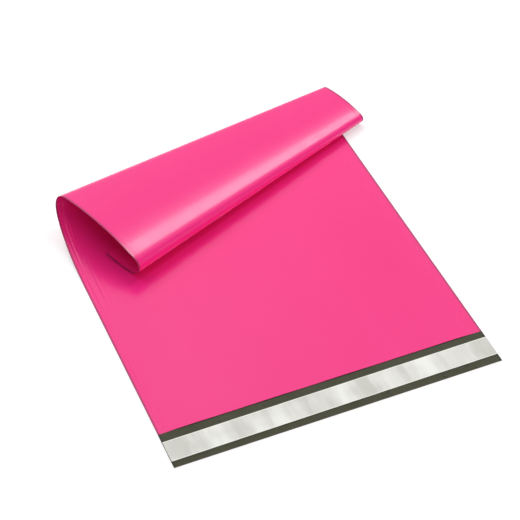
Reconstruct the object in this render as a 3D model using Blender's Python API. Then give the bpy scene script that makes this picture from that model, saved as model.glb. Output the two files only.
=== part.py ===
# Poly mailer bag: an empty film mailer lying face up, its closed end curled up, forward and under itself.
# Metres, +Z up. The mouth faces -Y, the panel lies on the plane Z = 0.
# The origin is the bottom centre of the box.
import bisect
import math

import bmesh
import bpy
from mathutils import Matrix, Vector

# The flat bag
BAG_WIDTH = 0.400
POUCH_LENGTH = 0.600  # from the mouth's lip to the bottom fold
FLAP_LENGTH = 0.050  # back panel past the lip
FILM = 0.00006  # one layer of film, 2.4 mil
POUCH_GAP = 0.0004  # air between the two panels of the empty pouch
SIDE_WELD = 0.005  # where both panels are melted into one at each side
WELD_SHOULDER = 0.012  # where the panels part beside the weld
BOTTOM_FOLD = 0.001  # film left solid at the bottom fold

# The closing strip on the flap's inside
SEAT_GAP = 0.0003
GLUE_WIDTH = 0.022
GLUE_THICKNESS = 0.00005
LINER_WIDTH = 0.029
LINER_THICKNESS = 0.00005
LINER_END_INSET = 0.0005
STRIP_FROM_FLAP_END = 0.0242  # centre line of glue and liner
STRIP_SKEW = math.radians(0.28)  # the strip runs slightly off square

# The curl: the sheet bends only about straight rulings that meet in one point, so the film isn't stretched.
# Lengths and radii are those at the left edge. At the right edge they shrink with the distance to that point.
MEETING_RIGHT = 0.407  # from the bag's right edge to the point
MEETING_BACK = 0.324  # from the left end of the first ruling back to the point
LIFT_LENGTH = 0.125  # the panel leaves the floor ever more steeply
LIFT_RADIUS = 0.095
BACK_LENGTH = 0.037  # tightens behind the curl
BACK_RADIUS = 0.011
CROWN_LENGTH = 0.111  # nearly straight top, sloping down to the front
CROWN_RADIUS = 0.29
NOSE_ENTRY = 0.014
NOSE_RADIUS = 0.0112
TUCK_LENGTH = 0.028  # flat end behind the nose, under the curl
TUCK_CLEARANCE = 0.0024  # under the left end of the nose, where the tuck begins
SHOULDER_GUESS = 0.0141  # settled by the script, as the next one is, so that the tuck lies on the panel
RELEASE_GUESS = 0.0506

# Settling the two guesses
SETTLE_ROUNDS = 40
SETTLED = 0.000001  # in height and in slope
PROBE = 0.00001
LONGEST_MOVE = 0.004  # of a guess in one round
SHORTEST_BEND = 0.002

# Fineness of the curved faces
TURN_STEP = math.radians(5)
LONGEST_STEP = 0.012
TUCK_ROWS = 6
PANEL_COLUMNS = 4
WALK_STEP = 0.0005
SHARP_ANGLE = math.radians(40)

SHEET_LENGTH = FLAP_LENGTH + POUCH_LENGTH
HALF_WIDTH = BAG_WIDTH / 2
POUCH_THICKNESS = 2 * FILM + POUCH_GAP


def curvature_knots(shoulder_length, release_length):
    """Curvature along the left edge, as points joined by straight lines, measured from the first ruling."""
    steps = (
        (LIFT_LENGTH, 1 / LIFT_RADIUS),
        (BACK_LENGTH, 1 / BACK_RADIUS),
        (shoulder_length, 1 / CROWN_RADIUS),
        (CROWN_LENGTH, 1 / CROWN_RADIUS),
        (NOSE_ENTRY, 1 / NOSE_RADIUS),
        (release_length, 0.0),
    )
    knots = [(0.0, 0.0)]
    for length, curvature in steps:
        knots.append((knots[-1][0] + length, curvature))
    return knots


def curvature_at(knots, s):
    for (s0, k0), (s1, k1) in zip(knots, knots[1:]):
        if s <= s1:
            return k0 + (k1 - k0) * (s - s0) / (s1 - s0)
    return 0.0


class Curl:
    """The rulings of the curled sheet, each with its direction from the meeting point and the sheet's normal."""

    def __init__(self, shoulder_length, release_length):
        self.knots = curvature_knots(shoulder_length, release_length)
        self.length = self.knots[-1][0]
        self.start_y = SHEET_LENGTH - TUCK_LENGTH - self.length
        self.meeting = Vector((HALF_WIDTH + MEETING_RIGHT, self.start_y + MEETING_BACK, 0))
        self.reach = self.meeting.x + HALF_WIDTH
        self.start_angle = self.angle(-HALF_WIDTH, self.start_y)
        self.nose_angle = self.angle(-HALF_WIDTH, self.start_y + self.length)
        a = self.start_angle
        ruling = Vector((-math.cos(a), math.sin(a), 0))
        along = Vector((math.sin(a), math.cos(a), 0))
        self.steps = [(a, ruling, Vector((0, 0, 1)), along)]
        self.walk(self.nose_angle, self.nose_angle)
        self.under_nose = self.panel_under(self.steps[-1][1])

    def angle(self, x, y):
        """Angle of the ruling through a point of the flat sheet."""
        return math.atan2(y - self.meeting.y, self.meeting.x - x)

    def bend(self, angle):
        """Bend of the sheet round the meeting point, per radian travelled, at an angle of the flat sheet."""
        s = self.reach * math.tan(angle) + MEETING_BACK
        return curvature_at(self.knots, s) * self.reach / math.cos(angle)

    def walk(self, last_angle, bent_like):
        """Turns the last ruling step by step up to last_angle, bending as the sheet does up to bent_like."""
        a, ruling, normal, along = self.steps[-1]
        count = math.ceil(self.reach * abs(last_angle - a) / WALK_STEP)
        step = (last_angle - a) / count
        shift = bent_like - last_angle
        for i in range(count):
            like = a + (i + 0.5) * step + shift
            bend = self.bend(like) if like > self.start_angle else 0.0
            axis = -(normal + bend * ruling)
            turn = Matrix.Rotation(axis.length * step, 3, axis)
            ruling, normal, along = turn @ ruling, turn @ normal, turn @ along
            self.steps.append((a + (i + 1) * step, ruling.copy(), normal.copy(), along.copy()))

    def panel_under(self, ruling):
        """Step of the lifting panel straight below a ruling, or the first one before the panel lifts."""
        heading = math.atan2(ruling.y, -ruling.x)
        for entry in self.steps:
            if math.atan2(entry[1].y, -entry[1].x) >= heading:
                return entry
        return self.steps[-1]

    def tuck(self):
        """Lays the end behind the nose along the panel, bending as the panel does below it."""
        heading = math.atan2(self.steps[-1][1].y, -self.steps[-1][1].x)
        below = heading if heading < self.start_angle else self.under_nose[0]
        last_angle = self.angle(HALF_WIDTH, SHEET_LENGTH)
        self.walk(last_angle, below + last_angle - self.nose_angle)
        self.angles = [entry[0] for entry in self.steps]

    def frame(self, angle):
        """Ruling and normal at an angle, flat before the first ruling."""
        i = bisect.bisect_right(self.angles, angle) - 1
        a, ruling, normal, along = self.steps[max(i, 0)]
        if 0 <= i < len(self.steps) - 1:
            ahead = self.steps[i + 1]
            part = (angle - a) / (ahead[0] - a)
            return ruling.lerp(ahead[1], part).normalized(), normal.lerp(ahead[2], part).normalized()
        rest = angle - a
        return ruling * math.cos(rest) + along * math.sin(rest), normal

    def place(self, x, y, height):
        """Where a point of the flat sheet lies, height above the sheet's underside."""
        ruling, normal = self.frame(self.angle(x, y))
        distance = math.hypot(self.meeting.x - x, y - self.meeting.y)
        return self.meeting + ruling * distance + normal * height

    def end_error(self):
        """How far the nose's end is from lying on the panel: in height, at the left edge, and in slope."""
        angle, ruling, normal, along = self.steps[-1]
        height = (ruling.z - self.under_nose[1].z) * self.reach / math.cos(angle)
        return height - TUCK_CLEARANCE, along.z - self.under_nose[3].z


def settle_curl():
    """Finds the two bend lengths that bring the tucked end down flat on the panel (Newton's method)."""
    shoulder, release = SHOULDER_GUESS, RELEASE_GUESS
    for _ in range(SETTLE_ROUNDS):
        height, slope = Curl(shoulder, release).end_error()
        if max(abs(height), abs(slope)) < SETTLED:
            break
        height_s, slope_s = Curl(shoulder + PROBE, release).end_error()
        height_r, slope_r = Curl(shoulder, release + PROBE).end_error()
        a, b = (height_s - height) / PROBE, (height_r - height) / PROBE
        c, d = (slope_s - slope) / PROBE, (slope_r - slope) / PROBE
        det = a * d - b * c
        move_s, move_r = (d * height - b * slope) / det, (a * slope - c * height) / det
        part = LONGEST_MOVE / max(abs(move_s), abs(move_r), LONGEST_MOVE)
        shoulder = max(SHORTEST_BEND, shoulder - part * move_s)
        release = max(SHORTEST_BEND, release - part * move_r)
    curl = Curl(shoulder, release)
    curl.tuck()
    return curl


def ruling_rows(curl):
    """Angles of the rulings to build: no more than TURN_STEP of bend or LONGEST_STEP of film between two."""
    angles = [curl.start_angle]
    bent = travelled = 0.0
    bending = [entry for entry in curl.steps if entry[0] < curl.nose_angle]
    for (a0, _, normal0, _), (a1, _, normal1, _) in zip(bending, bending[1:]):
        bent += normal0.angle(normal1, 0.0)
        travelled += curl.reach * (math.tan(a1) - math.tan(a0))
        if bent >= TURN_STEP or travelled >= LONGEST_STEP:
            angles.append(a1)
            bent = travelled = 0.0
    angles.append(curl.nose_angle)
    return angles


def film_rows(curl):
    """Rows across the flat sheet, each as its distance from the flap's end at the left and the right edge."""
    left, right = curl.reach, MEETING_RIGHT
    rows = [(0.0, 0.0), (FLAP_LENGTH, FLAP_LENGTH)]
    for angle in ruling_rows(curl):
        rows.append((curl.meeting.y + left * math.tan(angle), curl.meeting.y + right * math.tan(angle)))
    nose_left, nose_right = rows[-1]
    fold = SHEET_LENGTH - BOTTOM_FOLD
    for i in range(1, TUCK_ROWS + 1):
        part = i / TUCK_ROWS
        rows.append((nose_left + (fold - nose_left) * part, nose_right + (fold - nose_right) * part))
    rows.append((SHEET_LENGTH, SHEET_LENGTH))
    return rows


def film_columns():
    """Places across the width, each with how far the two panels have parted there."""
    weld = HALF_WIDTH - SIDE_WELD
    shoulder = weld - WELD_SHOULDER
    panel = [(-shoulder + 2 * shoulder * i / PANEL_COLUMNS, 1) for i in range(PANEL_COLUMNS + 1)]
    return [(-HALF_WIDTH, 0), (-weld, 0), *panel, (weld, 0), (HALF_WIDTH, 0)]


def film_mesh(curl):
    """One film: the back panel with its flap, the front panel, and the pouch between them, open at the lip."""
    rows, columns = film_rows(curl), film_columns()
    lip, last = 1, len(rows) - 1
    end = len(columns) - 1
    bm = bmesh.new()

    def line(row, height):
        y_left, y_right = row
        points = []
        for x, parted in columns:
            y = y_left + (y_right - y_left) * (x + HALF_WIDTH) / BAG_WIDTH
            points.append(bm.verts.new(curl.place(x, y, height(parted))))
        return points

    under = [line(row, lambda parted: 0.0) for row in rows]
    floor = {i: line(rows[i], lambda parted: FILM) for i in range(last)}
    top = {i: line(rows[i], lambda parted: 2 * FILM + parted * POUCH_GAP) for i in range(lip, last + 1)}
    roof = {i: line(rows[i], lambda parted: FILM + parted * POUCH_GAP) for i in range(lip, last)}
    for i in roof:
        for j in (1, end - 1):
            bm.verts.remove(roof[i][j])
            roof[i][j] = floor[i][j]

    def skin(line_a, line_b, first=0, stop=end):
        for j in range(first, stop):
            ring = [line_a[j], line_a[j + 1], line_b[j + 1], line_b[j]]
            bm.faces.new(list(dict.fromkeys(ring)))

    for i in range(last):
        skin(under[i], under[i + 1])
        if i < lip:
            skin(floor[i], floor[i + 1])
        else:
            skin(top[i], top[i + 1])
        if lip <= i < last - 1:
            skin(floor[i], floor[i + 1], 1, end - 1)
            skin(roof[i], roof[i + 1], 1, end - 1)
        for j in (0, end):
            if i < lip:
                bm.faces.new((under[i][j], under[i + 1][j], floor[i + 1][j], floor[i][j]))
            elif i == lip:
                bm.faces.new((under[i][j], under[i + 1][j], top[i + 1][j], top[i][j], floor[i][j]))
            else:
                bm.faces.new((under[i][j], under[i + 1][j], top[i + 1][j], top[i][j]))
    skin(under[0], floor[0])
    skin(under[last], top[last])
    skin(floor[last - 1], roof[last - 1], 1, end - 1)
    roof[lip][0], roof[lip][end] = floor[lip][0], floor[lip][end]
    skin(roof[lip], top[lip])
    bmesh.ops.delete(bm, geom=[v for v in bm.verts if not v.link_faces], context="VERTS")
    bmesh.ops.recalc_face_normals(bm, faces=bm.faces)
    mesh = bpy.data.meshes.new("bag_film")
    bm.to_mesh(mesh)
    bm.free()
    mesh.shade_smooth()
    mesh.set_sharp_from_angle(angle=SHARP_ANGLE)
    return mesh


def slab_mesh(name, length, width, thickness):
    """A flat strip with its underside on its own origin's plane."""
    bm = bmesh.new()
    size = Matrix.Diagonal((length, width, 1, 1))
    bmesh.ops.create_grid(bm, x_segments=1, y_segments=1, size=0.5, matrix=size)
    raised = bmesh.ops.extrude_face_region(bm, geom=bm.faces[:])
    bmesh.ops.translate(bm, verts=[v for v in raised["geom"] if isinstance(v, bmesh.types.BMVert)],
                        vec=(0, 0, thickness))
    bmesh.ops.recalc_face_normals(bm, faces=bm.faces)
    mesh = bpy.data.meshes.new(name)
    bm.to_mesh(mesh)
    bm.free()
    return mesh


def plastic(name, colour, roughness, metallic=0.0):
    material = bpy.data.materials.new(name)
    material.use_nodes = True
    shader = material.node_tree.nodes["Principled BSDF"]
    shader.inputs["Base Color"].default_value = (*colour, 1.0)
    shader.inputs["Roughness"].default_value = roughness
    shader.inputs["Metallic"].default_value = metallic
    return material


def add_object(mesh, material, parent, location=(0, 0, 0), turn=0.0):
    piece = bpy.data.objects.new(mesh.name, mesh)
    piece.data.materials.append(material)
    piece.location = location
    piece.rotation_euler.z = turn
    piece.parent = parent
    bpy.context.scene.collection.objects.link(piece)
    return piece


def build():
    for old in list(bpy.data.objects):
        bpy.data.objects.remove(old, do_unlink=True)
    film = film_mesh(settle_curl())
    xs = [v.co.x for v in film.vertices]
    ys = [v.co.y for v in film.vertices]
    bag = bpy.data.objects.new("poly_mailer_bag", None)
    bag.location = (-(min(xs) + max(xs)) / 2, -(min(ys) + max(ys)) / 2, 0)
    bpy.context.scene.collection.objects.link(bag)
    add_object(film, plastic("pink_film", (0.97, 0.076, 0.29), 0.3), bag)

    glue_seat = FILM + SEAT_GAP
    liner_seat = glue_seat + GLUE_THICKNESS + SEAT_GAP
    strip_length = BAG_WIDTH - 2 * LINER_END_INSET
    glue = slab_mesh("adhesive_strip", strip_length, GLUE_WIDTH, GLUE_THICKNESS)
    hot_melt = plastic("hot_melt", (0.75, 0.72, 0.6), 0.35)
    add_object(glue, hot_melt, bag, (0, STRIP_FROM_FLAP_END, glue_seat), STRIP_SKEW)
    liner = slab_mesh("release_liner", strip_length, LINER_WIDTH, LINER_THICKNESS)
    liner_film = plastic("liner_film", (0.66, 0.66, 0.62), 0.25)
    add_object(liner, liner_film, bag, (0, STRIP_FROM_FLAP_END, liner_seat), STRIP_SKEW)


build()
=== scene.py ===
import bisect
import math

import bpy
from mathutils import Matrix, Vector, noise


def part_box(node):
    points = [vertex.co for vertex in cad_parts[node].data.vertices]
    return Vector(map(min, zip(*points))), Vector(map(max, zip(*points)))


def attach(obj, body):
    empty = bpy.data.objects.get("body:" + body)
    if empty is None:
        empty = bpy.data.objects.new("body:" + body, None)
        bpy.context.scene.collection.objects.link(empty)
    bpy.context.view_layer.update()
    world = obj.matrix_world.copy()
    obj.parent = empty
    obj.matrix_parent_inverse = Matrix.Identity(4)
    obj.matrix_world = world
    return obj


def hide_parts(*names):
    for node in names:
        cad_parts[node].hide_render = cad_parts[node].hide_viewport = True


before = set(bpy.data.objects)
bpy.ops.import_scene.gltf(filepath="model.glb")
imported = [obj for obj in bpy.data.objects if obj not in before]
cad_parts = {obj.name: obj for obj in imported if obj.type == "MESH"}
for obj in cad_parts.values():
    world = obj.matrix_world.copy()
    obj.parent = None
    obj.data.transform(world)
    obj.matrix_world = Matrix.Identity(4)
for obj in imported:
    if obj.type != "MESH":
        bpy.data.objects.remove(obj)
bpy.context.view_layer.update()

print("frame loaded")


# small helpers

def deselectAll():
    if bpy.context.object and bpy.context.object.mode != "OBJECT":
        bpy.ops.object.mode_set(mode="OBJECT")
    bpy.ops.object.select_all(action="DESELECT")


def makeActive(piece):
    deselectAll()
    piece.select_set(True)
    bpy.context.view_layer.objects.active = piece


def applyModifiers(piece):
    makeActive(piece)
    for modifier in list(piece.modifiers):
        bpy.ops.object.modifier_apply(modifier=modifier.name)


def smoothStep(low, high, value):
    part = min(1.0, max(0.0, (value - low) / (high - low)))
    return part * part * (3 - 2 * part)


cloudSpan = (0.3, 0.7)  # nearly all of a noise texture's values lie between these


# adds and joins the nodes of one material, or of the world
class Nodes:
    def __init__(self, owner, shader="Principled BSDF"):
        self.owner = owner
        owner.use_nodes = True
        self.tree = owner.node_tree
        self.shader = self.tree.nodes[shader]

    def add(self, kind, inputs=None, **settings):
        node = self.tree.nodes.new(kind)
        for key, value in settings.items():
            setattr(node, key, value)
        for key, value in (inputs or {}).items():
            self.feed(node.inputs[key], value)
        return node

    def feed(self, socket, value):
        if isinstance(value, bpy.types.NodeSocket):
            self.tree.links.new(value, socket)
        else:
            socket.default_value = value

    def finish(self, **values):  # colour, roughness and normal may be joined, the rest are plain numbers
        names = {"colour": "Base Color", "roughness": "Roughness", "normal": "Normal",
                 "specular": "Specular IOR Level", "coat": "Coat Weight", "coatRoughness": "Coat Roughness"}
        for key, value in values.items():
            self.feed(self.shader.inputs[names[key]], value)
        return self.owner

    def flatPlace(self):  # metres on the piece's own flat sheet
        return self.add("ShaderNodeUVMap", uv_map="UVMap").outputs["UV"]

    def cloud(self, place, scale, detail=2.0):  # noise with its own scale along each direction
        stretched = self.add("ShaderNodeMapping", {"Vector": place, "Scale": scale}).outputs["Vector"]
        noiseNode = self.add("ShaderNodeTexNoise", {"Vector": stretched, "Scale": 1.0, "Detail": detail})
        return noiseNode.outputs["Fac"]

    def spread(self, cloud, newLow, newHigh):
        return self.remap(cloud, *cloudSpan, newLow, newHigh)

    def remap(self, value, low, high, newLow, newHigh, kind="LINEAR"):
        inputs = {"Value": value, "From Min": low, "From Max": high, "To Min": newLow, "To Max": newHigh}
        return self.add("ShaderNodeMapRange", inputs, interpolation_type=kind).outputs["Result"]

    def calc(self, operation, a, b):
        return self.add("ShaderNodeMath", {0: a, 1: b}, operation=operation).outputs["Value"]

    def mixed(self, factor, a, b):
        node = self.add("ShaderNodeMix", {"Factor": factor}, data_type="RGBA")
        self.feed(node.inputs["A"], a)
        self.feed(node.inputs["B"], b)
        return node.outputs["Result"]

    def bump(self, height, strength, distance, normal=None):
        node = self.add("ShaderNodeBump", {"Height": height, "Strength": strength, "Distance": distance})
        if normal:
            self.feed(node.inputs["Normal"], normal)
        return node.outputs["Normal"]


# camera at the photo's angle

photoView = {
    "azimuth": math.radians(23.0015),
    "elevation": math.radians(44.4055),
    "distance": 2.10211,
    "target": Vector((-0.00637, 0.00751, 0.0)),
    "lens": 120.70,
    "sensor": 36.0,
}


def addCamera(view):
    azimuth, elevation = view["azimuth"], view["elevation"]
    level = math.cos(elevation)
    forward = Vector((math.sin(azimuth) * level, math.cos(azimuth) * level, -math.sin(elevation)))
    data = bpy.data.cameras.new("photoCamera")
    data.lens = view["lens"]
    data.sensor_width = view["sensor"]
    camera = bpy.data.objects.new("photoCamera", data)
    camera.location = view["target"] - forward * view["distance"]
    camera.rotation_euler = forward.to_track_quat("-Z", "Y").to_euler()
    bpy.context.scene.collection.objects.link(camera)
    bpy.context.scene.camera = camera


addCamera(photoView)
print("camera placed")


# the flat bag and its curl, in metres

bag = {
    "width": 0.400,
    "pouchLength": 0.600,
    "flapLength": 0.050,
    "film": 0.00006,
    "pouchGap": 0.0004,
    "sideWeld": 0.005,
    "weldShoulder": 0.022,
    "foldShoulder": 0.010,
}
sheetLength = bag["pouchLength"] + bag["flapLength"]
halfWidth = bag["width"] / 2

curlShape = {
    "meetingRight": 0.407,
    "meetingBack": 0.324,
    "bends": (  # each length along the sheet's left edge, with the curvature that it bends to
        (0.125, 1 / 0.095),
        (0.037, 1 / 0.011),
        (0.0147547, 1 / 0.29),
        (0.111, 1 / 0.29),
        (0.014, 1 / 0.0112),
        (0.0473249, 0.0),
    ),
    "tuckLength": 0.028,
    "walkStep": 0.0005,
    "turnStep": math.radians(1.5),
    "longestStep": 0.006,
}


def curvatureAt(knots, s):
    for (s0, k0), (s1, k1) in zip(knots, knots[1:]):
        if s <= s1:
            return k0 + (k1 - k0) * (s - s0) / (s1 - s0)
    return 0.0


# the curled sheet's straight lines, all of which would meet in one point to the right of the bag
class Curl:
    def __init__(self, shape):
        self.knots = [(0.0, 0.0)]
        for length, curvature in shape["bends"]:
            self.knots.append((self.knots[-1][0] + length, curvature))
        length = self.knots[-1][0]
        startY = sheetLength - shape["tuckLength"] - length
        self.meetingBack = shape["meetingBack"]
        self.meeting = Vector((halfWidth + shape["meetingRight"], startY + self.meetingBack, 0))
        self.reach = self.meeting.x + halfWidth
        self.walkStep = shape["walkStep"]
        self.startAngle = self.angle(-halfWidth, startY)
        self.noseAngle = self.angle(-halfWidth, startY + length)
        a = self.startAngle
        ruling = Vector((-math.cos(a), math.sin(a), 0))
        along = Vector((math.sin(a), math.cos(a), 0))
        self.steps = [(a, ruling, Vector((0, 0, 1)), along)]
        self.walk(self.noseAngle, self.noseAngle)
        self.tuck()
        self.angles = [step[0] for step in self.steps]

    def angle(self, x, y):
        return math.atan2(y - self.meeting.y, self.meeting.x - x)

    def bend(self, angle):
        s = self.reach * math.tan(angle) + self.meetingBack
        return curvatureAt(self.knots, s) * self.reach / math.cos(angle)

    def walk(self, lastAngle, bentLike):
        a, ruling, normal, along = self.steps[-1]
        count = math.ceil(self.reach * abs(lastAngle - a) / self.walkStep)
        step = (lastAngle - a) / count
        shift = bentLike - lastAngle
        for i in range(count):
            like = a + (i + 0.5) * step + shift
            bend = self.bend(like) if like > self.startAngle else 0.0
            axis = -(normal + bend * ruling)
            turn = Matrix.Rotation(axis.length * step, 3, axis)
            ruling, normal, along = turn @ ruling, turn @ normal, turn @ along
            self.steps.append((a + (i + 1) * step, ruling.copy(), normal.copy(), along.copy()))

    def tuck(self):  # the end behind the nose bends as the panel below it does
        heading = math.atan2(self.steps[-1][1].y, -self.steps[-1][1].x)
        below = heading
        if heading >= self.startAngle:
            below = next(a for a, r, _, _ in self.steps if math.atan2(r.y, -r.x) >= heading)
        lastAngle = self.angle(halfWidth, sheetLength)
        self.walk(lastAngle, below + lastAngle - self.noseAngle)

    def frame(self, angle):
        i = bisect.bisect_right(self.angles, angle) - 1
        a, ruling, normal, along = self.steps[max(i, 0)]
        if 0 <= i < len(self.steps) - 1:
            ahead = self.steps[i + 1]
            part = (angle - a) / (ahead[0] - a)
            return ruling.lerp(ahead[1], part).normalized(), normal.lerp(ahead[2], part).normalized()
        rest = angle - a
        return ruling * math.cos(rest) + along * math.sin(rest), normal

    def place(self, x, y, height):
        ruling, normal = self.frame(self.angle(x, y))
        distance = math.hypot(self.meeting.x - x, y - self.meeting.y)
        return self.meeting + ruling * distance + normal * height

    def beyondStart(self, x, y):
        return self.reach * (self.angle(x, y) - self.startAngle)

    def rulingAngles(self, turnStep, longestStep):
        angles = [self.startAngle]
        bent = travelled = 0.0
        bending = [step for step in self.steps if step[0] < self.noseAngle]
        for (a0, _, normal0, _), (a1, _, normal1, _) in zip(bending, bending[1:]):
            bent += normal0.angle(normal1, 0.0)
            travelled += self.reach * (math.tan(a1) - math.tan(a0))
            if bent >= turnStep or travelled >= longestStep:
                angles.append(a1)
                bent = travelled = 0.0
        angles.append(self.noseAngle)
        return angles


curl = Curl(curlShape)
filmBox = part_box("bag_film")


# the shift from the sheet's own place to the frame, whose origin is the middle of the film's box
def intoFrame(points):
    xs = [p.x for p in points]
    ys = [p.y for p in points]
    boxMiddle = ((filmBox[0][0] + filmBox[1][0]) / 2, (filmBox[0][1] + filmBox[1][1]) / 2)
    return Vector((boxMiddle[0] - (min(xs) + max(xs)) / 2, boxMiddle[1] - (min(ys) + max(ys)) / 2, 0))


# the film: one long sheet, folded over at the bag's bottom

filmLook = {
    "flapRows": 8,
    "flatRows": 34,
    "tuckRows": 16,
    "columns": 80,
    "middleShare": 0.72,
    "waveHeight": 0.00016,
    "waveLength": 0.13,
    "waveSeed": 3.1,
    "rippleHeight": 0.00016,
    "rippleLength": 0.034,
    "rippleReach": 0.03,
    "rippleSeeds": (2.3, 7.7),
    "stiffened": 0.85,
    "stiffenLength": 0.05,
    "lipLift": 0.0006,
    "lipReach": 0.02,
    "lipLength": 0.045,
    "smoothBelow": math.radians(50),
    "sideDarkens": (0.0013, 0.0030),
}


# rows over the sheet, each with its distance from the flap's end at the left and right edge
def panelRows(curl, look):
    flap = bag["flapLength"]
    rows = [(flap * i / look["flapRows"],) * 2 for i in range(look["flapRows"])]
    angles = curl.rulingAngles(curlShape["turnStep"], curlShape["longestStep"])
    across = (curl.reach, curlShape["meetingRight"])
    rulings = [tuple(curl.meeting.y + reach * math.tan(angle) for reach in across) for angle in angles]
    left, right = rulings[0]
    for i in range(look["flatRows"]):
        part = i / look["flatRows"]
        rows.append((flap + (left - flap) * part, flap + (right - flap) * part))
    rows += rulings
    left, right = rulings[-1]
    for i in range(1, look["tuckRows"] + 1):
        part = i / look["tuckRows"]
        rows.append((left + (sheetLength - left) * part, right + (sheetLength - right) * part))
    return rows


# places across the width, closer together at the welds
def columnPlaces(look):
    middle = look["middleShare"]
    parts = [2 * i / look["columns"] - 1 for i in range(look["columns"] + 1)]
    return [halfWidth * (middle * part + (1 - middle) * math.sin(part * math.pi / 2)) for part in parts]


# how far the two panels have parted, from 0 at the welds and the bottom fold to 1
def parted(x, y):
    inside = halfWidth - bag["sideWeld"] - abs(x)
    side = smoothStep(0, bag["weldShoulder"], inside)
    return side * smoothStep(0, bag["foldShoulder"], sheetLength - y)


def upTo(height, place):  # smooth noise between 0 and height
    return height * (0.5 + 0.5 * noise.noise(Vector(place)))


# gentle waves of the film and small ripples along the welds, held down where the curl stiffens the film
def waviness(curl, x, y, look):
    wave = upTo(look["waveHeight"], (x / look["waveLength"], y / look["waveLength"], look["waveSeed"]))
    fromSide = halfWidth - abs(x)
    seed = look["rippleSeeds"][x > 0]
    ripple = upTo(look["rippleHeight"], (y / look["rippleLength"], seed, fromSide / look["waveLength"]))
    curled = smoothStep(0, look["stiffenLength"], curl.beyondStart(x, y))
    return (wave + ripple * math.exp(-fromSide / look["rippleReach"])) * (1 - look["stiffened"] * curled)


# the front panel lies on the back one, a little apart between the welds, and its mouth stands open a touch
def frontLift(x, y, look):
    lip = math.exp(-(y - bag["flapLength"]) / look["lipReach"])
    mouth = upTo(look["lipLift"], (x / look["lipLength"], 0, 0)) * lip
    return 2 * bag["film"] + parted(x, y) * (bag["pouchGap"] + mouth)


def makeFilm(curl, look):
    backRows = panelRows(curl, look)
    frontRows = [row for row in reversed(backRows) if row[0] >= bag["flapLength"] - 1e-9]
    rows = [(row, False) for row in backRows] + [(row, True) for row in frontRows]
    places = columnPlaces(look)
    deselectAll()
    bpy.ops.mesh.primitive_grid_add(x_subdivisions=len(places) - 1, y_subdivisions=len(rows) - 1, size=1)
    film = bpy.context.object
    film.name = film.data.name = "mailer_film"
    mesh = film.data
    flat = []
    for vertex in mesh.vertices:
        i = round((vertex.co.x + 0.5) * (len(places) - 1))
        j = round((vertex.co.y + 0.5) * (len(rows) - 1))
        x = places[i]
        (left, right), front = rows[j]
        y = left + (right - left) * (x + halfWidth) / bag["width"]
        flat.append((x, y, front))
    uv = mesh.uv_layers[0].data
    for loop in mesh.loops:
        x, y, front = flat[loop.vertex_index]
        uv[loop.index].uv = (x + halfWidth, 2 * sheetLength - y if front else y)
    placed = []
    for x, y, front in flat:
        height = waviness(curl, x, y, look)
        if front:
            height += frontLift(x, y, look)
        placed.append(curl.place(x, y, height))
    shift = intoFrame(placed)
    for vertex, point in zip(mesh.vertices, placed):
        vertex.co = point + shift
    makeActive(film)
    bpy.ops.object.mode_set(mode="EDIT")
    bpy.ops.mesh.select_all(action="SELECT")
    bpy.ops.mesh.flip_normals()
    bpy.ops.object.mode_set(mode="OBJECT")
    wall = film.modifiers.new("wall", "SOLIDIFY")
    wall.thickness = bag["film"]
    wall.offset = -1
    wall.material_offset = 1
    wall.material_offset_rim = 1
    return film, shift


film, sheetShift = makeFilm(curl, filmLook)
print("film laid and curled")


def sideDistance(nodes, place):
    across = nodes.add("ShaderNodeSeparateXYZ", {0: place}).outputs["X"]
    return nodes.calc("MINIMUM", across, nodes.calc("SUBTRACT", bag["width"], across))


def cutSide(nodes, fromSide, look):  # the film is darker along its cut sides
    return nodes.remap(fromSide, *filmLook["sideDarkens"], look["cutSideShare"], 0.0)


pinkLook = {
    "paler": (0.91, 0.017, 0.225, 1),
    "deeper": (0.925, 0.021, 0.238, 1),
    "cutSide": (0.32, 0.02, 0.10, 1),
    "cutSideShare": 0.80,
    "mottleScale": (9, 5, 1),
    "hazeScale": (60, 14, 1),
    "roughness": (0.22, 0.27),
    "specular": 0.45,
    "coat": 0.25,
    "coatRoughness": 0.12,
    "drawnScale": (700, 12, 1),
    "drawnStrength": 0.10,
    "drawnDepth": 0.0004,
    "skinScale": (260, 260, 1),
    "skinStrength": 0.06,
    "skinDepth": 0.0003,
    "weldLine": 0.001,
    "weldStrength": 0.6,
    "weldDepth": 0.0002,
    "ridgeScale": (190, 7, 1),
    "ridgeReach": 0.032,
    "ridgeStrength": 0.7,
    "ridgeDepth": 0.0025,
    "ridgeBehind": 0.1,
}


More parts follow.
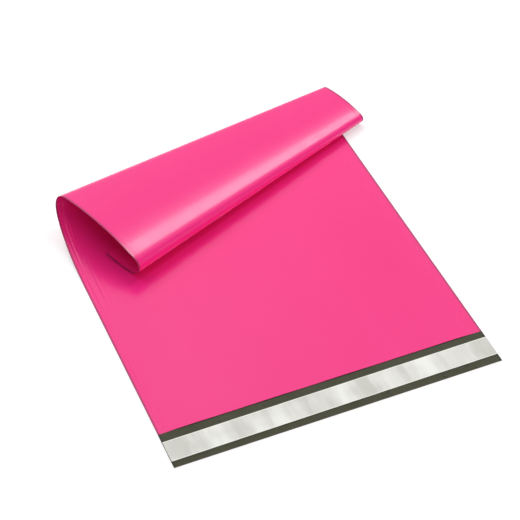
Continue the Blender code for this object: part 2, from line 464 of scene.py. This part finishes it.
def pinkFilm(look):
    nodes = Nodes(bpy.data.materials.new("pinkFilm"))
    place = nodes.flatPlace()
    fromSide = sideDistance(nodes, place)
    edge = cutSide(nodes, fromSide, look)
    mottle = nodes.spread(nodes.cloud(place, look["mottleScale"], detail=3.0), 0, 1)
    colour = nodes.mixed(edge, nodes.mixed(mottle, look["paler"], look["deeper"]), look["cutSide"])
    haze = nodes.spread(nodes.cloud(place, look["hazeScale"]), *look["roughness"])
    drawn = nodes.cloud(place, look["drawnScale"])
    normal = nodes.bump(drawn, look["drawnStrength"], look["drawnDepth"])
    skin = nodes.cloud(place, look["skinScale"], detail=1.0)
    normal = nodes.bump(skin, look["skinStrength"], look["skinDepth"], normal)
    weldFrom, weldTo = bag["sideWeld"] - look["weldLine"] / 2, bag["sideWeld"] + look["weldLine"] / 2
    weld = nodes.remap(fromSide, weldFrom, weldTo, 0, 1, "SMOOTHSTEP")
    normal = nodes.bump(weld, look["weldStrength"], look["weldDepth"], normal)
    fading = nodes.remap(fromSide, 0, look["ridgeReach"], 1, 0, "SMOOTHSTEP")
    along = nodes.add("ShaderNodeSeparateXYZ", {0: place}).outputs["Y"]
    onFront = nodes.remap(along, sheetLength - look["ridgeReach"], sheetLength, look["ridgeBehind"], 1)
    share = nodes.calc("MULTIPLY", fading, onFront)  # the ridges show on the front panel, by the welds
    ridges = nodes.calc("MULTIPLY", nodes.cloud(place, look["ridgeScale"]), share)
    normal = nodes.bump(ridges, look["ridgeStrength"], look["ridgeDepth"], normal)
    return nodes.finish(colour=colour, roughness=haze, normal=normal, specular=look["specular"],
                        coat=look["coat"], coatRoughness=look["coatRoughness"])


greyLook = {
    "darker": (0.034, 0.036, 0.013, 1),
    "lighter": (0.047, 0.048, 0.023, 1),
    "cutSide": (0.016, 0.013, 0.014, 1),
    "cutSideShare": 0.75,
    "mottleScale": (30, 30, 1),
    "hazeScale": (60, 200, 1),
    "roughness": (0.27, 0.34),
    "specular": 0.36,
    "hazeStrength": 0.10,
    "hazeDepth": 0.0004,
}


def greyFilm(look):
    nodes = Nodes(bpy.data.materials.new("greyFilm"))
    place = nodes.flatPlace()
    mottle = nodes.spread(nodes.cloud(place, look["mottleScale"], detail=3.0), 0, 1)
    edge = cutSide(nodes, sideDistance(nodes, place), look)
    grey = nodes.mixed(mottle, look["darker"], look["lighter"])
    haze = nodes.cloud(place, look["hazeScale"])
    return nodes.finish(colour=nodes.mixed(edge, grey, look["cutSide"]),
                        roughness=nodes.spread(haze, *look["roughness"]),
                        normal=nodes.bump(haze, look["hazeStrength"], look["hazeDepth"]),
                        specular=look["specular"])


film.data.materials.append(pinkFilm(pinkLook))
film.data.materials.append(greyFilm(greyLook))
applyModifiers(film)
bpy.ops.object.shade_smooth_by_angle(angle=filmLook["smoothBelow"])
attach(film, "root")
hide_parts("bag_film")
print("film finished")


# the release liner over the glue

liner = {
    "length": 0.399,
    "width": 0.029,
    "thickness": 0.00005,
    "fromFlapEnd": 0.0242,
    "skew": math.radians(0.28),
    "seat": 0.00071,
    "columns": 240,
    "rows": 14,
    "crinkleHeight": 0.00035,
    "crinkleLength": 0.022,
    "crinkleLean": 0.35,
    "broadShare": 0.6,
    "broadAcross": 9,
    "broadSeed": 4.2,
    "fineTimes": 2.3,
    "fineAcross": 30,
    "fineSeed": 9.1,
}


def crinkle(x, y, look):
    along = (x + look["crinkleLean"] * y) / look["crinkleLength"]
    broad = look["broadShare"] * look["crinkleHeight"]
    fine = look["crinkleHeight"] - broad
    folds = upTo(broad, (along, look["broadSeed"], y * look["broadAcross"]))
    return folds + upTo(fine, (along * look["fineTimes"], look["fineSeed"], y * look["fineAcross"]))


def makeLiner(look, shift):
    deselectAll()
    bpy.ops.mesh.primitive_grid_add(x_subdivisions=look["columns"], y_subdivisions=look["rows"], size=1)
    piece = bpy.context.object
    piece.name = piece.data.name = "liner_strip"
    mesh = piece.data
    uv = mesh.uv_layers[0].data
    for loop in mesh.loops:
        corner = mesh.vertices[loop.vertex_index].co
        uv[loop.index].uv = ((corner.x + 0.5) * look["length"], (corner.y + 0.5) * look["width"])
    turn = Matrix.Rotation(look["skew"], 3, "Z")
    for vertex in mesh.vertices:
        x, y = vertex.co.x * look["length"], vertex.co.y * look["width"]
        seat = Vector((0, look["fromFlapEnd"], look["seat"] + crinkle(x, y, look)))
        vertex.co = turn @ Vector((x, y, 0)) + seat + shift
    wall = piece.modifiers.new("wall", "SOLIDIFY")
    wall.thickness = look["thickness"]
    wall.offset = 1
    return piece


silverLook = {
    # darker to lighter runs over streaks and clouds of painted reflection, as the crinkled liner would
    # mirror the room
    "darker": (0.61, 0.605, 0.555, 1),
    "lighter": (0.89, 0.89, 0.84, 1),
    # a painted highlight along both long edges of the liner
    "paintedEdgeHighlight": (0.94, 0.93, 0.86, 1),
    "edgeHighlightShare": 0.8,
    "edgeHighlightFrom": 0.0005,
    "edgeHighlightTo": 0.0016,
    "streakScale": (27, 6, 1),
    "streakShare": 0.65,
    "paintedSheenSpan": (0.38, 0.62),
    "cloudScale": (13, 20, 1),
    "fineScale": (260, 60, 1),
    "fineShare": 0.2,
    "roughness": (0.22, 0.38),
    "roughSpan": (0.35, 0.65),
    "bumpStrength": 0.35,
    "bumpDepth": 0.0006,
}


def silverLiner(look):
    nodes = Nodes(bpy.data.materials.new("silverLiner"))
    place = nodes.flatPlace()
    # painted reflection: the colour runs from darker to lighter in streaks and clouds, as the liner's
    # crinkles would mirror light; the same streaks also bump it and set its roughness
    streak = nodes.cloud(place, look["streakScale"], detail=3.0)
    streaks = nodes.calc("MULTIPLY", streak, look["streakShare"])
    clouds = nodes.calc("MULTIPLY", nodes.cloud(place, look["cloudScale"]), 1 - look["streakShare"])
    paintedSheen = nodes.remap(nodes.calc("ADD", streaks, clouds), *look["paintedSheenSpan"], 0, 1, "SMOOTHSTEP")
    # painted highlight: a pale line along both long edges of the liner
    up = nodes.add("ShaderNodeSeparateXYZ", {0: place}).outputs["Y"]
    fromEdge = nodes.calc("MINIMUM", up, nodes.calc("SUBTRACT", liner["width"], up))
    paintedEdgeHighlight = nodes.remap(fromEdge, look["edgeHighlightFrom"], look["edgeHighlightTo"], look["edgeHighlightShare"], 0.0)
    colour = nodes.mixed(paintedEdgeHighlight, nodes.mixed(paintedSheen, look["darker"], look["lighter"]), look["paintedEdgeHighlight"])
    fine = nodes.calc("MULTIPLY", nodes.cloud(place, look["fineScale"]), look["fineShare"])
    normal = nodes.bump(nodes.calc("ADD", streak, fine), look["bumpStrength"], look["bumpDepth"])
    roughness = nodes.remap(streak, *look["roughSpan"], *look["roughness"])
    return nodes.finish(colour=colour, roughness=roughness, normal=normal)


linerPiece = makeLiner(liner, sheetShift)
linerPiece.data.materials.append(silverLiner(silverLook))
applyModifiers(linerPiece)
bpy.ops.object.shade_smooth_by_angle(angle=filmLook["smoothBelow"])
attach(linerPiece, "root")
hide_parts("release_liner")
print("liner laid")


# the glue under the liner keeps its solid

glueLook = {
    "darker": (0.70, 0.66, 0.52, 1),
    "lighter": (0.80, 0.77, 0.66, 1),
    "mottleScale": (90, 160, 1),
    "roughness": (0.25, 0.45),
    "bumpStrength": 0.4,
    "bumpDepth": 0.0002,
}


def hotMelt(look):
    nodes = Nodes(bpy.data.materials.new("hotMelt"))
    place = nodes.add("ShaderNodeTexCoord").outputs["Object"]
    mottle = nodes.cloud(place, look["mottleScale"], detail=3.0)
    return nodes.finish(colour=nodes.mixed(mottle, look["darker"], look["lighter"]),
                        roughness=nodes.spread(mottle, *look["roughness"]),
                        normal=nodes.bump(mottle, look["bumpStrength"], look["bumpDepth"]))


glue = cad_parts["adhesive_strip"]
glue.data.materials.clear()
glue.data.materials.append(hotMelt(glueLook))
print("glue finished")


# floor, light and background

studio = {
    "floorSize": 12.0,
    "floorDrop": 0.0004,
    "floorColour": (0.64, 0.64, 0.64, 1),
    "floorLift": (0.46, 0.80),
    "liftGrows": (0.7, 2.6),
    "worldLight": 0.30,
    "dimTowards": (0.465, -0.879, 0.103),
    "dimRange": (0.45, 0.80),
    "dimmed": 0.15,
    "backPlace": (-0.45, 2.00, 2.80),
    "backSize": (3.2, 2.6),
    "backPower": 84.0,
    "topPlace": (1.86, 0.63, 2.89),
    "topSize": (0.50, 1.60),
    "topPower": 21.0,
    "frontPlace": (1.60, -2.60, 0.75),
    "frontSize": (3.2, 1.6),
    "frontPower": 50.0,
}


def addFloor(look):
    deselectAll()
    bpy.ops.mesh.primitive_plane_add(size=look["floorSize"], location=(0, 0, -look["floorDrop"]))
    floor = bpy.context.object
    floor.name = "floor"
    nodes = Nodes(bpy.data.materials.new("whiteFloor"))
    path = nodes.add("ShaderNodeLightPath")
    seen = nodes.calc("MAXIMUM", path.outputs["Is Camera Ray"], path.outputs["Is Glossy Ray"])
    place = nodes.add("ShaderNodeTexCoord").outputs["Object"]
    away = nodes.add("ShaderNodeVectorMath", {0: place}, operation="LENGTH").outputs["Value"]
    lift = nodes.remap(away, *look["liftGrows"], *look["floorLift"])  # stays white where the lamps fade
    nodes.shader.inputs["Emission Color"].default_value = (1, 1, 1, 1)
    nodes.feed(nodes.shader.inputs["Emission Strength"], nodes.calc("MULTIPLY", seen, lift))
    floor.data.materials.append(nodes.finish(colour=look["floorColour"], roughness=1.0, specular=0.0))


# the world is white to the camera, and its mirror image is dim on the front right, as beside a dark card
def addWorld(look):
    world = bpy.data.worlds.new("studioWorld")
    bpy.context.scene.world = world
    nodes = Nodes(world, "Background")
    path = nodes.add("ShaderNodeLightPath")
    direction = nodes.add("ShaderNodeTexCoord").outputs["Generated"]
    both = {0: direction, 1: look["dimTowards"]}
    facing = nodes.add("ShaderNodeVectorMath", both, operation="DOT_PRODUCT").outputs["Value"]
    mirrored = nodes.remap(facing, *look["dimRange"], 1.0, look["dimmed"], "SMOOTHSTEP")
    unseen = {"Factor": path.outputs["Is Glossy Ray"], "A": look["worldLight"], "B": mirrored}
    level = nodes.add("ShaderNodeMix", unseen).outputs["Result"]
    nodes.feed(nodes.shader.inputs["Color"], (1, 1, 1, 1))
    nodes.feed(nodes.shader.inputs["Strength"], nodes.calc("MAXIMUM", path.outputs["Is Camera Ray"], level))


def addLamp(name, place, size, power, mirrored):
    data = bpy.data.lights.new(name, "AREA")
    data.shape = "RECTANGLE"
    data.size, data.size_y = size
    data.energy = power
    lamp = bpy.data.objects.new(name, data)
    lamp.location = place
    lamp.visible_glossy = mirrored
    lamp.rotation_euler = (-Vector(place)).to_track_quat("-Z", "Y").to_euler()
    bpy.context.scene.collection.objects.link(lamp)


addFloor(studio)
addWorld(studio)
addLamp("backLamp", studio["backPlace"], studio["backSize"], studio["backPower"], False)
addLamp("topLamp", studio["topPlace"], studio["topSize"], studio["topPower"], True)  # bright along the curl
addLamp("frontLamp", studio["frontPlace"], studio["frontSize"], studio["frontPower"], False)
bpy.context.scene.view_settings.view_transform = "Standard"
print("studio lit")
